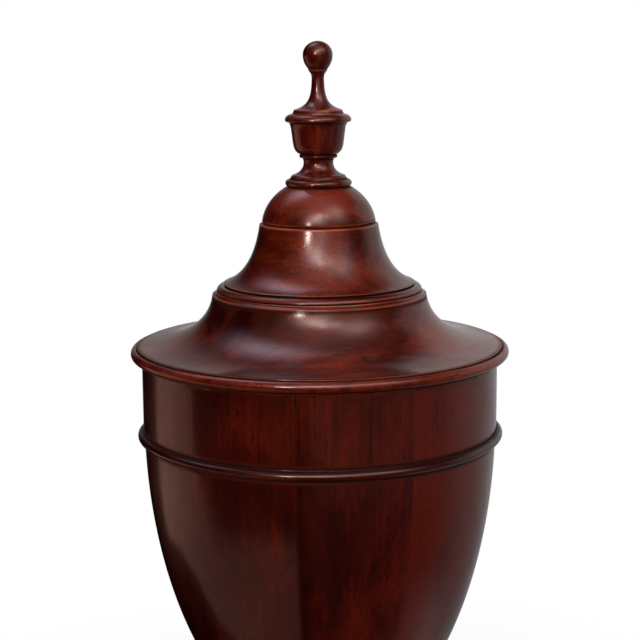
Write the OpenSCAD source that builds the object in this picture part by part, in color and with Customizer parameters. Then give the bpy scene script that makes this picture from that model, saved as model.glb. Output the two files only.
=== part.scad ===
// Knife urn in turned and staved mahogany. Sizes are in millimetres, +Z is up,
// and the origin is the middle of the plinth's underside. The front faces -Y.

/* [Plinth] */
// Side of the square plinth block
plinth_side = 186; // [160:1:220]
// Height of the plinth block
plinth_block_h = 38; // [30:1:50]
// Height of the moulded cap on the block
plinth_cap_h = 15; // [12:1:22]
// Distance that the cap is set in from the block on each side
plinth_step = 9; // [4:0.5:15]

/* [Socle] */
// Height of the turned socle between plinth and body
socle_h = 78; // [68:1:100]
// Radius of the roll at the socle's foot
socle_foot_r = 64; // [54:0.5:68]
// Radius of the socle's waist
socle_waist_r = 21; // [18:0.5:26]
// Radius of the socle's top
socle_top_r = 39; // [35:0.5:42]

/* [Body] */
// Radius of the plain frieze under the lid
body_r = 125; // [116:0.2:132]
// Height of the staved body
body_h = 273; // [262:1:290]
// Radius of the body where it stands on the socle
body_foot_r = 36; // [31:0.5:40]
// Thickness of the staves, measured level
wall = 12; // [10:0.5:13]
// Depth of the body's widest level below its mouth
swell_drop = 44; // [36:1:52]
// Depth of the bead's middle below the mouth
bead_drop = 53; // [48:0.1:57]
// Half the height of the bead round the body
bead_half = 3.3; // [2.8:0.1:4]
// Distance that this bead stands out past the body
bead_out = 3.9; // [3.2:0.1:4.4]

/* [Lid] */
// Height of the hollow-moulded skirt
skirt_h = 45; // [41:0.5:50]
// Radius of the skirt at its top
skirt_top_r = 75; // [72:0.2:78]
// Height of the skirt's edge above the mouth
skirt_edge_h = 10.1; // [9.6:0.1:12]
// Distance that the skirt's edge stands out past the body
skirt_edge_out = 2.8; // [2:0.1:4]
// Radius of the rim bead's section
rim_sect_r = 3.7; // [3.2:0.1:3.9]
// Height of the bead and hollow between skirt and bell
lid_bead_h = 7; // [6:0.2:9]
// Height of the bell
bell_h = 43.4; // [40:0.2:50]
// Distance that the bell's foot is set in from the skirt's top
bell_step = 8; // [7.5:0.1:10]
// Radius of the bell at its top
bell_top_r = 41.4; // [40:0.1:44]
// Distance that the dome is set in from the bell's top
dome_step = 1.8; // [1.3:0.1:3]
// Height of the dome
dome_h = 24.6; // [22:0.2:28]
// Depth that the lid's locating lip drops into the mouth
lip_drop = 6; // [4:0.5:10]

/* [Finial] */
// Radius of the roll at the vase's base
vase_base_r = 23.1; // [21:0.1:26]
// Height of the vase
vase_h = 49.9; // [44:0.1:56]
// Radius of the vase's cup at its foot
cup_r = 17.8; // [16:0.1:18.4]
// Radius of the vase's waist
vase_waist_r = 9.8; // [8.5:0.1:12]
// Radius of the roll round the vase's mouth
vase_rim_r = 23; // [21.5:0.1:25]
// Height of the knob
knob_h = 49.5; // [46:0.1:56]
// Radius of the knob's ball
ball_r = 10.3; // [9:0.1:12]
// Radius of the knob's neck
knob_neck_r = 4.3; // [3.4:0.1:5]
// Radius of the knob's flange
flange_r = 16.6; // [15.5:0.1:18]

/* [Column] */
// Side of the square lifting column
column_side = 24; // [22:0.5:26]
// Thickness of the well's boards
well_board = 6; // [5:0.5:7]
// Room between the column and the well's boards
well_room = 5.3; // [5.1:0.1:6]
// Height of the guide collar
collar_h = 18; // [14:1:20]
// Thickness of the brass collar plate
plate_t = 2; // [1.5:0.1:3]
// Swing of the catch out of its groove
catch_swing = 8; // [5:0.5:8]
// Length of the catch below its pivot
catch_l = 34; // [28:1:36]

/* [Tiers] */
// Depth of the top tier below the mouth
tier_drop = 30; // [26:1:36]
// Step from each tier down to the next
tier_step = 28; // [24:1:30]
// Thickness of the tier boards
tier_t = 8; // [6:0.5:10]
// Width of the cutlery slots
slot_w = 7; // [6:0.5:8]
// Length of the cutlery slots
slot_l = 24; // [20:0.5:26]
// Radius of the ring of slots in the low tier
low_slot_r = 91; // [88:0.5:94]
// Radius of the ring of slots in the middle tier
mid_slot_r = 65; // [63:0.5:67]
// Radius of the ring of slots in the top tier
top_slot_r = 40; // [38.5:0.5:42]
// Radius of the middle tier
mid_tier_r = 80; // [77:0.5:81]
// Radius of the top tier
top_tier_r = 54; // [51:0.5:55]

/* [Hidden] */
// Node to draw, or all of them
// Facets of a turned surface
$fn = 96;

// Polished outer mahogany
polished = [0.34, 0.12, 0.07];
// Plain inner mahogany
inner_wood = [0.45, 0.22, 0.13];
// Boxwood stringing
boxwood = [0.78, 0.66, 0.42];
// Brass of catch and collar plate
brass = [0.72, 0.56, 0.28];
// Steel of the hidden screws
steel = [0.42, 0.42, 0.44];

// Glue line round a turned joint
glue = 0.1;
// Running clearance round a pin
pin_fit = 0.05;
// Glue line inside the staves
stave_fit = 0.2;
// Room between the lid and the mouth that it comes to rest on
seat_gap = 0.1;
// Clearance of the lid's lip inside the mouth
lip_clear = 0.4;
// Clearance of the column in its collar, each side
collar_clear = 0.4;
// Clearance of the column's foot in the well, each side
foot_clear = 0.5;
// Overrun of a cutting tool past a face
over = 1;
// Chords in a long moulded curve
long_n = 18;
// Chords in a half-round
bead_n = 10;

// Levels from the table up
socle_z = plinth_block_h + plinth_cap_h;
body_z = socle_z + socle_h;
seat_z = body_z + body_h;
widest_z = seat_z - swell_drop;
bead_z = seat_z - bead_drop;
skirt_top_z = seat_z + skirt_h;
bell_z = skirt_top_z + lid_bead_h;
bell_top_z = bell_z + bell_h;
dome_top_z = bell_top_z + dome_h;
vase_top_z = dome_top_z + vase_h;

// Body: an upright half oval below the widest level, set just inside the frieze
frieze_lap = 0.6;
swell_r = body_r - frieze_lap;
swell_h = (widest_z - body_z) / sqrt(1 - pow(body_foot_r / swell_r, 2));
function body_out(z) = swell_r * sqrt(1 - pow(max(widest_z - z, 0) / swell_h, 2));
function body_in(z) = body_out(z) - wall;
// Levels from z0 to z1 that part the oval into n even turns
function swell_turn(z) = asin((widest_z - z) / swell_h);
function swell_levels(z0, z1, n) = let (a0 = swell_turn(z0), a1 = swell_turn(z1))
  [for (i = [0:n]) widest_z - swell_h * sin(a0 + (a1 - a0) * i / n)];
mouth_r = swell_r - wall;
// Ten staves, with a joint just left of the middle of the front
stave_count = 10;
stave_turn = 360 / stave_count;
stave_start = -97.1;
// Rebate for the bead
bead_let = 1.5;
bead_fillet = 0.6;
bead_half_h = bead_half + bead_fillet;
bead_seat_r = body_r - bead_let;

// Floor of the body and of the well
boss_h = 30;
floor_z = body_z + boss_h;
well_rise = 12;
well_floor_z = body_z + well_rise;
boss_pin_r = 11;
boss_pin_l = 31;

// Tiers
tier_top_z = seat_z - tier_drop;
tier_mid_z = tier_top_z - tier_step;
tier_low_z = tier_mid_z - tier_step;
tier_low_r = body_in(tier_low_z - tier_t) - stave_fit;
ledge_h = 6;
ledge_w = 10;
ledge_r = body_in(tier_low_z - tier_t - ledge_h) - stave_fit;
nosing = 2;
riser_t = 4;
mid_riser_r = mid_tier_r - nosing;
top_riser_r = top_tier_r - nosing;
board_lap = 1.5;
line_w = 1.4;

// Column, well, collar and foot
half_col = column_side / 2;
well_in = half_col + well_room;
well_out = well_in + well_board;
collar_in = half_col + collar_clear;
collar_top_z = tier_top_z - tier_t;
collar_z = collar_top_z - collar_h;
plate_lap = 5;
plate_half = well_in + plate_lap;
plate_top_z = tier_top_z + plate_t;
foot_h = 20;
foot_gap = 4;
foot_z = well_floor_z + foot_gap;
foot_top_z = foot_z + foot_h;
// Rise of the lid, to just short of the collar's underside
stop_gap = 1;
lid_rise = collar_z - foot_top_z - stop_gap;
foot_half = well_in - foot_clear;
tail_shoulder = 2;
tail_half = half_col - tail_shoulder;
foot_pin_r = 2.5;
pin_short = 0.5;
screw_r = 1.5;
screw_l = 12;
screw_proud = 0.4;
screw_at = (collar_in + well_in) / 2;

// Catch, in a groove in the column's front face
catch_w = 7;
catch_t = 4;
catch_sink = 0.2;
catch_rest = 0.5;
catch_side = 0.5;
catch_tail = 8;
catch_end_gap = 1;
catch_back_gap = 0.3;
spring_room = 3.2;
tip_z = plate_top_z + catch_rest - lid_rise;
pivot_z = tip_z + catch_l;
pivot_y = -half_col + catch_sink + catch_t / 2;
catch_pin_r = 1.1;
tail_floor_y = pivot_y + catch_t / 2 + catch_tail * sin(catch_swing) + catch_back_gap;
spring_floor_y = tail_floor_y + spring_room;
spring_share = 0.85;
spring_t = 0.6;
spring_w = 6;

// Lid
edge_r = body_r + skirt_edge_out;
edge_z = seat_z + skirt_edge_h;
lip_r = mouth_r - lip_clear;
lip_t = 6;
lip_in = 4;
rim_lift = 1.8;
rim_out = 1.1;
rim_z = seat_z + rim_sect_r + rim_lift;
rim_r = edge_r + rim_out;
bell_foot_r = skirt_top_r - bell_step;
tenon_shoulder = 3.8;
tenon_wall = 8;
tenon_r = bell_foot_r - tenon_shoulder;
tenon_in = tenon_r - tenon_wall;
tenon_l = 13;
dome_r = bell_top_r - dome_step;
neck_bore_r = 30;
neck_l = 15.4;
neck_z = bell_top_z - neck_l;
ledge_drop = 1.2;
bell_quirk = 1.2;
dome_quirk = 0.7;
mortise_half = 9;
mortise_l = 22;
mortise_z = neck_z + mortise_l;
vase_pin_r = 7;
head_room = 4;
head_r = 4.5;
head_h = 3;
head_gap = 1;
vase_pin_l = dome_top_z - mortise_z - head_room - head_h - head_gap;
column_screw_r = 2;
column_screw_l = 30;
flange_splay = 1.3;
knob_pin_r = 4;
knob_pin_l = 16;
cap_band_share = 0.27;
cap_hollow_share = 0.53;
plinth_pin_r = 18;
plinth_pin_l = 33;
plinth_screw_r = 3;
plinth_head_r = 7;
plinth_head_h = 5;
plinth_screw_short = 6;
plinth_screw_top = socle_z - plinth_screw_short;

// Arc of an upright oval, and of a circle
function oval(c, rx, rz, a0, a1, n) =
  [for (i = [0:n]) let (a = a0 + (a1 - a0) * i / n) c + [rx * cos(a), rz * sin(a)]];
function arc(c, r, a0, a1, n) = oval(c, r, r, a0, a1, n);
// Curve from a to b: f and g place its two handles, as shares of the way from a to b, across and up
function share(a, b, f) = [a[0] + (b[0] - a[0]) * f[0], a[1] + (b[1] - a[1]) * f[1]];
function bezier(a, b, c, d, t) =
  pow(1 - t, 3) * a + 3 * pow(1 - t, 2) * t * b + 3 * (1 - t) * t * t * c + pow(t, 3) * d;
function flow(a, b, f, g, n) = [for (i = [0:n]) bezier(a, share(a, b, f), share(a, b, g), b, i / n)];

module turned(outline) {
  rotate_extrude() polygon(outline);
}

module square_bar(half, z0, z1) {
  translate([-half, -half, z0]) cube([2 * half, 2 * half, z1 - z0]);
}

module rod_x(r, x0, x1, y, z) {
  translate([x0, y, z]) rotate([0, 90, 0]) cylinder(r = r, h = x1 - x0);
}

module ring(r0, r1, z0, z1) {
  turned([[r0, z0], [r1, z0], [r1, z1], [r0, z1]]);
}

module slots(count, r, z, first) {
  for (i = [0:count - 1])
    rotate(first + 360 * i / count)
      translate([-slot_l / 2, r - slot_w / 2, z - tier_t - over]) cube([slot_l, slot_w, tier_t + 2 * over]);
}

// Half outline of the plinth cap: a band, a hollow and a fillet
module cap_bar(length) {
  h = plinth_side / 2 - plinth_step;
  band = plinth_cap_h * cap_band_share;
  hollow = plinth_cap_h * cap_hollow_share;
  sweep = arc([h, band + hollow], hollow, 270, 180, bead_n);
  right = concat([[h, 0]], sweep, [[h - hollow, plinth_cap_h]]);
  left = [for (i = [len(right) - 1:-1:0]) [-right[i][0], right[i][1]]];
  rotate([90, 0, 0]) linear_extrude(height = length, center = true) polygon(concat(right, left));
}

module plinth_block() {
  color(polished) difference() {
    square_bar(plinth_side / 2, 0, plinth_block_h);
    translate([0, 0, socle_z - plinth_pin_l - glue]) cylinder(r = plinth_pin_r + glue, h = plinth_block_h);
    translate([0, 0, -over]) cylinder(r = plinth_screw_r + glue, h = plinth_block_h);
    translate([0, 0, -over]) cylinder(r = plinth_head_r + glue, h = plinth_head_h + over + glue);
  }
}

module plinth_cap() {
  color(polished) difference() {
    translate([0, 0, plinth_block_h]) intersection() {
      cap_bar(plinth_side);
      rotate(90) cap_bar(plinth_side);
    }
    translate([0, 0, plinth_block_h - over]) cylinder(r = plinth_pin_r + glue, h = plinth_cap_h + 2 * over);
  }
}

module plinth_screw() {
  color(steel) {
    cylinder(r = plinth_head_r, h = plinth_head_h);
    cylinder(r = plinth_screw_r, h = plinth_screw_top);
  }
}

module socle() {
  roll = 5.5;
  step_in = 1.5;
  step_h = 2.6;
  arris_in = 2;
  waist_share = 0.66;
  ring_r = 2.6;
  ring_gap = 1.4;
  cup_gap = 0.8;
  band_h = 5.5;
  band_in = 1.6;
  step_z = socle_z + 2 * roll;
  step_r = socle_foot_r - roll - step_in;
  arris = [step_r - arris_in, step_z + step_h];
  waist_z = socle_z + socle_h * waist_share;
  ring_z = waist_z + ring_r + ring_gap;
  cup_z = ring_z + ring_r + cup_gap;
  band_z = body_z - band_h;
  color(polished) difference() {
    turned(concat(
      [[0, socle_z - plinth_pin_l], [plinth_pin_r, socle_z - plinth_pin_l], [plinth_pin_r, socle_z]],
      arc([socle_foot_r - roll, socle_z + roll], roll, -90, 90, bead_n),
      [[step_r, step_z], [step_r, arris[1]]],
      flow(arris, [socle_waist_r, waist_z], [0.78, 0.06], [1, 0.46], long_n),
      arc([socle_waist_r + 1, ring_z], ring_r, -80, 80, bead_n),
      flow([socle_waist_r, cup_z], [socle_top_r - band_in, band_z], [0, 0.52], [0.83, 0.63], bead_n),
      [[socle_top_r, band_z], [socle_top_r, body_z], [0, body_z]]));
    translate([0, 0, body_z - boss_pin_l - 2 * glue]) cylinder(r = boss_pin_r + glue, h = boss_pin_l + over);
    translate([0, 0, -over]) cylinder(r = plinth_screw_r + glue, h = plinth_screw_top + 2 * over);
  }
}

module body_boss() {
  color(inner_wood) difference() {
    turned(concat(
      [[0, body_z - boss_pin_l], [boss_pin_r, body_z - boss_pin_l], [boss_pin_r, body_z]],
      [for (z = swell_levels(body_z, floor_z, bead_n)) [body_in(z) - stave_fit, z]],
      [[0, floor_z]]));
    square_bar(well_out + glue, well_floor_z, floor_z + over);
  }
}

module stave(number) {
  under_z = bead_z - bead_half_h - glue;
  above_z = bead_z + bead_half_h + glue;
  foot_levels = swell_levels(floor_z, body_z, bead_n);
  outline = concat(
    [for (z = swell_levels(body_z, under_z, long_n)) [body_out(z), z]],
    [[bead_seat_r, under_z], [bead_seat_r, above_z], [body_r, above_z], [body_r, seat_z], [mouth_r, seat_z]],
    [for (z = swell_levels(widest_z, floor_z, long_n)) [body_in(z), z]],
    [for (i = [1:bead_n]) [body_in(foot_levels[i]), foot_levels[i]]]);
  color(polished) rotate(stave_start + stave_turn * (number - 1))
    rotate_extrude(angle = stave_turn) polygon(outline);
}

module body_bead() {
  lip_out = 0.5;
  sunk = 0.9;
  lip = body_r + lip_out;
  color(polished) turned(concat(
    [[bead_seat_r + glue, bead_z - bead_half_h], [lip, bead_z - bead_half_h], [lip, bead_z - bead_half]],
    oval([body_r - sunk, bead_z], bead_out + sunk, bead_half, -72, 72, bead_n),
    [[lip, bead_z + bead_half], [lip, bead_z + bead_half_h], [bead_seat_r + glue, bead_z + bead_half_h]]));
}

module tier_ledge() {
  color(inner_wood) ring(ledge_r - ledge_w, ledge_r, tier_low_z - tier_t - ledge_h, tier_low_z - tier_t);
}

module tier_low() {
  color(inner_wood) difference() {
    ring(mid_riser_r - riser_t - board_lap, tier_low_r, tier_low_z - tier_t, tier_low_z);
    slots(12, low_slot_r, tier_low_z, 0);
  }
}

module riser_mid() {
  color(inner_wood) ring(mid_riser_r - riser_t, mid_riser_r, tier_low_z, tier_mid_z - tier_t);
}

module tier_mid() {
  color(inner_wood) difference() {
    ring(top_riser_r - riser_t - board_lap, mid_tier_r, tier_mid_z - tier_t, tier_mid_z);
    ring(mid_tier_r - line_w - glue, mid_tier_r + over, tier_mid_z - line_w, tier_mid_z + over);
    slots(8, mid_slot_r, tier_mid_z, 0);
  }
}

module line_mid() {
  color(boxwood) ring(mid_tier_r - line_w, mid_tier_r, tier_mid_z - line_w, tier_mid_z);
}

module riser_top() {
  color(inner_wood) ring(top_riser_r - riser_t, top_riser_r, tier_mid_z, tier_top_z - tier_t);
}

module tier_top() {
  color(inner_wood) difference() {
    translate([0, 0, tier_top_z - tier_t]) cylinder(r = top_tier_r, h = tier_t);
    ring(top_tier_r - line_w - glue, top_tier_r + over, tier_top_z - line_w, tier_top_z + over);
    slots(4, top_slot_r, tier_top_z, 0);
    square_bar(collar_in, tier_top_z - tier_t - over, tier_top_z + over);
    collar_holes(screw_r + glue, tier_top_z - tier_t - over);
  }
}

module line_top() {
  color(boxwood) ring(top_tier_r - line_w, top_tier_r, tier_top_z - line_w, tier_top_z);
}

module well_front() {
  color(inner_wood) translate([-well_out, -well_out, well_floor_z])
    cube([2 * well_out, well_board, collar_top_z - well_floor_z]);
}

module well_back() {
  color(inner_wood) translate([-well_out, well_in, well_floor_z])
    cube([2 * well_out, well_board, collar_top_z - well_floor_z]);
}

module well_left() {
  color(inner_wood) translate([-well_out, -well_in, well_floor_z])
    cube([well_board, 2 * well_in, collar_top_z - well_floor_z]);
}

module well_right() {
  color(inner_wood) translate([well_in, -well_in, well_floor_z])
    cube([well_board, 2 * well_in, collar_top_z - well_floor_z]);
}

module column_collar() {
  color(inner_wood) difference() {
    square_bar(well_in - glue, collar_z, collar_top_z);
    square_bar(collar_in, collar_z - over, collar_top_z + over);
    collar_holes(screw_r + glue, tier_top_z - screw_l - glue);
  }
}

// One hole at each corner of the collar plate, inside the well's corners
module collar_holes(r, z) {
  for (x = [-screw_at, screw_at])
    for (y = [-screw_at, screw_at])
      translate([x, y, z]) cylinder(r = r, h = plate_top_z - z + over, $fn = 24);
}

module collar_plate() {
  color(brass) difference() {
    square_bar(plate_half, tier_top_z, plate_top_z);
    square_bar(collar_in, tier_top_z - over, plate_top_z + over);
    collar_holes(screw_r + glue, tier_top_z - over);
  }
}

module collar_screws() {
  color(brass)
    for (x = [-screw_at, screw_at])
      for (y = [-screw_at, screw_at])
        translate([x, y, tier_top_z - screw_l])
          cylinder(r = screw_r, h = screw_l + plate_t + screw_proud, $fn = 24);
}

module lid_column() {
  groove = catch_w / 2 + catch_side;
  groove_z = tip_z - catch_end_gap;
  color(inner_wood) difference() {
    union() {
      square_bar(half_col, foot_top_z, neck_z);
      square_bar(mortise_half, neck_z, mortise_z - 2 * glue);
      square_bar(tail_half, foot_z, foot_top_z);
    }
    translate([-groove, -half_col - over, groove_z])
      cube([2 * groove, tail_floor_y + half_col + over, pivot_z + catch_tail + catch_end_gap - groove_z]);
    translate([-groove, -half_col - over, groove_z])
      cube([2 * groove, spring_floor_y + half_col + over, catch_l * spring_share]);
    rod_x(catch_pin_r + pin_fit, -half_col - over, half_col + over, pivot_y, pivot_z);
    rod_x(foot_pin_r + pin_fit, -half_col - over, half_col + over, 0, foot_z + foot_h / 2);
    translate([0, 0, mortise_z - column_screw_l])
      cylinder(r = column_screw_r + glue, h = column_screw_l + over);
  }
}

module column_screw() {
  head_z = mortise_z + head_room;
  color(steel) {
    translate([0, 0, head_z]) cylinder(r = head_r, h = head_h);
    translate([0, 0, mortise_z - column_screw_l + glue])
      cylinder(r = column_screw_r, h = head_room + column_screw_l);
  }
}

module column_foot() {
  color(inner_wood) difference() {
    square_bar(foot_half, foot_z, foot_top_z);
    square_bar(tail_half + glue, foot_z - over, foot_top_z + over);
    rod_x(foot_pin_r + pin_fit, -foot_half - over, foot_half + over, 0, foot_z + foot_h / 2);
  }
}

module foot_pin() {
  color(boxwood) rod_x(foot_pin_r, -foot_half + pin_short, foot_half - pin_short, 0, foot_z + foot_h / 2);
}

module catch_pin() {
  color(steel) rod_x(catch_pin_r, -half_col + pin_short, half_col - pin_short, pivot_y, pivot_z);
}

// Side outlines of lever and spring are drawn as y and z, and stood up across the groove
module across_groove(width) {
  rotate([90, 0, 90]) translate([0, 0, -width / 2]) linear_extrude(height = width) children();
}

module catch_lever() {
  front = pivot_y - catch_t / 2;
  back = pivot_y + catch_t / 2;
  color(brass) across_groove(catch_w) difference() {
    polygon([[front, tip_z], [back, tip_z], [back, pivot_z + catch_tail], [pivot_y, pivot_z + catch_tail],
      [front, pivot_z + catch_tail / 2]]);
    translate([pivot_y, pivot_z]) circle(r = catch_pin_r + pin_fit);
  }
}

module catch_spring() {
  back = pivot_y + catch_t / 2;
  bow = spring_floor_y - catch_back_gap - spring_t;
  head_share = 0.3;
  bend_share = 0.5;
  end_share = 0.8;
  leaf = concat([[back, pivot_z - catch_l * head_share]],
    flow([back, pivot_z - catch_l * bend_share], [bow, pivot_z - catch_l * end_share],
      [0, 0.33], [1, 0.33], bead_n));
  behind = [for (i = [len(leaf) - 1:-1:0]) leaf[i] + [spring_t, 0]];
  color(brass) across_groove(spring_w) polygon(concat(leaf, behind));
}

module lid_lip() {
  color(inner_wood) ring(lip_r - lip_t, lip_r, seat_z - lip_drop, seat_z + lip_in);
}

module lid_skirt() {
  tenon_end = 2;
  inner_z = skirt_top_z - tenon_l + tenon_end;
  lip_bore = lip_r - lip_t;
  color(polished) turned(concat(
    flow([edge_r, edge_z], [skirt_top_r, skirt_top_z], [0.72, 0.1], [0.957, 0.56], long_n),
    [[tenon_r + glue, skirt_top_z]],
    flow([tenon_r + glue, inner_z], [lip_bore, seat_z + lip_in], [0.09, 0.33], [0.35, 0.87], long_n),
    [[lip_r + glue, seat_z + lip_in], [lip_r + glue, seat_z + seat_gap], [edge_r, seat_z + seat_gap]]));
}

module lid_rim() {
  top_share = 0.8;
  inside = edge_r + glue;
  color(polished) turned(concat(
    [[inside, rim_z - rim_sect_r]],
    arc([rim_r, rim_z], rim_sect_r, -90, 78, bead_n),
    [[inside, rim_z + rim_sect_r * top_share]]));
}

module lid_bead() {
  fillet_share = 0.07;
  hollow_share = 0.38;
  nose_share = 0.5;
  hollow_in = 2.6;
  nose_in = 3.2;
  shoulder = 4.8;
  under = 1.2;
  under_h = 0.9;
  nose_r = skirt_top_r - nose_in;
  nose_z = skirt_top_z + lid_bead_h * nose_share;
  fillet = [skirt_top_r, skirt_top_z + lid_bead_h * fillet_share];
  hollow = [skirt_top_r - hollow_in, skirt_top_z + lid_bead_h * hollow_share];
  color(polished) turned(concat(
    [[tenon_r + glue, skirt_top_z], [skirt_top_r, skirt_top_z]],
    flow(fillet, hollow, [0.55, 0.2], [0.9, 0.6], bead_n),
    oval([nose_r - under, nose_z], under, under_h, -50, 0, bead_n),
    oval([nose_r - shoulder, nose_z], shoulder, bell_z - nose_z, 90 / bead_n, 90, bead_n - 1),
    [[bell_foot_r - bell_quirk, bell_z], [tenon_r + glue, bell_z]]));
}

module lid_bell() {
  foot_lift = 1.4;
  ledge_in = 1.4;
  inner_drop = 2;
  top_z = bell_top_z - ledge_drop;
  foot_edge_z = bell_z + foot_lift;
  color(polished) turned(concat(
    [[tenon_in, bell_z - tenon_l], [tenon_r, bell_z - tenon_l], [tenon_r, bell_z]],
    [[bell_foot_r - bell_quirk, bell_z]],
    flow([bell_foot_r, foot_edge_z], [bell_top_r, top_z], [0.7, 0.14], [0.91, 0.64], long_n),
    [[bell_top_r - ledge_in, bell_top_z - ledge_drop / 2], [dome_r - dome_quirk, bell_top_z],
      [neck_bore_r + glue, bell_top_z]],
    flow([neck_bore_r + glue, neck_z], [tenon_in, bell_z - inner_drop], [0.2, 0.33], [0.5, 0.73], long_n)));
}

module lid_dome() {
  low = 0.8;
  sink = 4;
  vase_lap = 0.7;
  flat_r = vase_base_r - vase_lap;
  reach = dome_h - low + sink;
  // Oval through the dome's foot and the edge of its flat top, with its middle sunk below the foot
  spread = pow(dome_r * reach, 2) - pow(flat_r * sink, 2);
  oval_r = sqrt(spread / (pow(reach, 2) - pow(sink, 2)));
  oval_h = sqrt(spread / (pow(dome_r, 2) - pow(flat_r, 2)));
  color(polished) difference() {
    turned(concat(
      [[0, neck_z], [neck_bore_r, neck_z], [neck_bore_r, bell_top_z], [dome_r - dome_quirk, bell_top_z]],
      oval([0, bell_top_z + low - sink], oval_r, oval_h, asin(sink / oval_h), asin(reach / oval_h), long_n),
      [[0, dome_top_z]]));
    square_bar(mortise_half + glue, neck_z - over, mortise_z);
    translate([0, 0, mortise_z - over]) cylinder(r = column_screw_r + glue, h = head_room + 2 * over);
    translate([0, 0, mortise_z + head_room]) cylinder(r = vase_pin_r + glue, h = dome_h);
  }
}

module finial_vase() {
  roll = 2.55;
  rim_up = 4.2;
  rim_down = 1.5;
  rim_under = 2.6;
  step_in = 3.2;
  arris_in = 5.6;
  collar_out = 3.4;
  waist_flare = 1.2;
  cup_in = 0.2;
  wall_splay = 1.1;
  rim_lap = 0.2;
  arris_share = 0.166;
  waist_share = 0.395;
  cup_share = 0.448;
  foot_share = 0.64;
  top_share = 0.805;
  collar_r = vase_waist_r + collar_out;
  step = [vase_base_r - step_in, dome_top_z + 2 * roll];
  arris = [vase_base_r - arris_in, dome_top_z + vase_h * arris_share];
  waist = [vase_waist_r + waist_flare, dome_top_z + vase_h * waist_share];
  cup = [collar_r - cup_in, dome_top_z + vase_h * cup_share];
  collar_sect_r = (cup[1] - waist[1]) / 2;
  wall_foot = [cup_r, dome_top_z + vase_h * foot_share];
  wall_top = [cup_r + wall_splay, dome_top_z + vase_h * top_share];
  nose_z = vase_top_z - rim_up;
  rim_foot = [vase_rim_r - rim_under + rim_lap, nose_z - rim_down];
  seat_r = flange_r + flange_splay;
  color(polished) difference() {
    turned(concat(
      [[0, dome_top_z - vase_pin_l], [vase_pin_r, dome_top_z - vase_pin_l], [vase_pin_r, dome_top_z]],
      arc([vase_base_r - roll, dome_top_z + roll], roll, -90, 80, bead_n),
      flow(step, arris, [0.1, 0.4], [0.55, 0.9], bead_n),
      flow(arris, waist, [0.96, 0.17], [1.3, 0.61], long_n),
      arc([collar_r - collar_sect_r, waist[1] + collar_sect_r], collar_sect_r, -80, 60, bead_n),
      flow(cup, wall_foot, [0.82, 0.19], [0.91, 0.6], bead_n),
      flow(wall_top, rim_foot, [0.18, 0.43], [0.53, 0.85], bead_n),
      oval([vase_rim_r - rim_under, nose_z], rim_under, rim_down, -75, 0, bead_n),
      oval([seat_r, nose_z], vase_rim_r - seat_r, rim_up, 90 / bead_n, 90, bead_n - 1),
      [[0, vase_top_z]]));
    translate([0, 0, vase_top_z - knob_pin_l - glue]) cylinder(r = knob_pin_r + glue, h = knob_pin_l + over);
  }
}

module finial_knob() {
  flange_t = 2.9;
  neck_share = 0.497;
  collar_share = 0.606;
  ball_share = 0.81;
  under_share = 0.25;
  neck_flare = 0.4;
  flare_h = 2.5;
  collar_set = 3.7;
  soft = 0.4;
  quirk = 0.7;
  flange = [flange_r, vase_top_z + flange_t];
  neck = [knob_neck_r, vase_top_z + knob_h * neck_share];
  collar = [ball_r - collar_set, vase_top_z + knob_h * collar_share];
  ball_z = vase_top_z + knob_h * ball_share;
  crown = knob_h * (1 - ball_share);
  under = knob_h * under_share;
  edge_a = -asin((ball_z - collar[1] - quirk) / under);
  color(polished) turned(concat(
    [[0, vase_top_z - knob_pin_l], [knob_pin_r, vase_top_z - knob_pin_l], [knob_pin_r, vase_top_z],
      [flange_r + flange_splay, vase_top_z]],
    flow(flange, neck, [0.8, 0.13], [0.98, 0.34], long_n),
    [[neck[0] + neck_flare, neck[1] + flare_h], [collar[0], collar[1] - soft], collar],
    oval([0, ball_z], ball_r, under, edge_a, 0, bead_n),
    oval([0, ball_z], ball_r, crown, 90 / bead_n, 90, bead_n - 1)));
}

plinth_block();
plinth_cap();
plinth_screw();
socle();
body_boss();
stave(1);  // stave_1
stave(2);  // stave_2
stave(3);  // stave_3
stave(4);  // stave_4
stave(5);  // stave_5
stave(6);  // stave_6
stave(7);  // stave_7
stave(8);  // stave_8
stave(9);  // stave_9
stave(10);  // stave_10
body_bead();
tier_ledge();
tier_low();
riser_mid();
tier_mid();
line_mid();
riser_top();
tier_top();
line_top();
well_front();
well_back();
well_left();
well_right();
column_collar();
collar_plate();
collar_screws();
lid_column();
column_screw();
column_foot();
foot_pin();
catch_pin();
catch_lever();
catch_spring();
lid_lip();
lid_skirt();
lid_rim();
lid_bead();
lid_bell();
lid_dome();
finial_vase();
finial_knob();
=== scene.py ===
"""Looks of the knife urn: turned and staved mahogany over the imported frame, in a plain studio."""
import math

import bpy
import numpy as np
from mathutils import Matrix


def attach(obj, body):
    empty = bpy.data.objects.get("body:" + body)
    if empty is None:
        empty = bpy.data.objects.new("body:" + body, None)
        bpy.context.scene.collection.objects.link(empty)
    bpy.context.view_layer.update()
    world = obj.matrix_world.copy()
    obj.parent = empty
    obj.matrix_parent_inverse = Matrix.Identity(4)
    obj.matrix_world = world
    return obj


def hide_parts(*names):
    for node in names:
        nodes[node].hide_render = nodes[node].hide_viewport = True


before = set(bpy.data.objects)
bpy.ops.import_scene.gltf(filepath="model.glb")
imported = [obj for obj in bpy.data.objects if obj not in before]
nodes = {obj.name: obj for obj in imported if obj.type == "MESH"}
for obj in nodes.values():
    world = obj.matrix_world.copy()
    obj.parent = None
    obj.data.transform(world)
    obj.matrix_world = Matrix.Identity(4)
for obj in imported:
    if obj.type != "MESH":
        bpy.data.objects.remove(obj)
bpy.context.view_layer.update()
MM = 0.001

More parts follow.
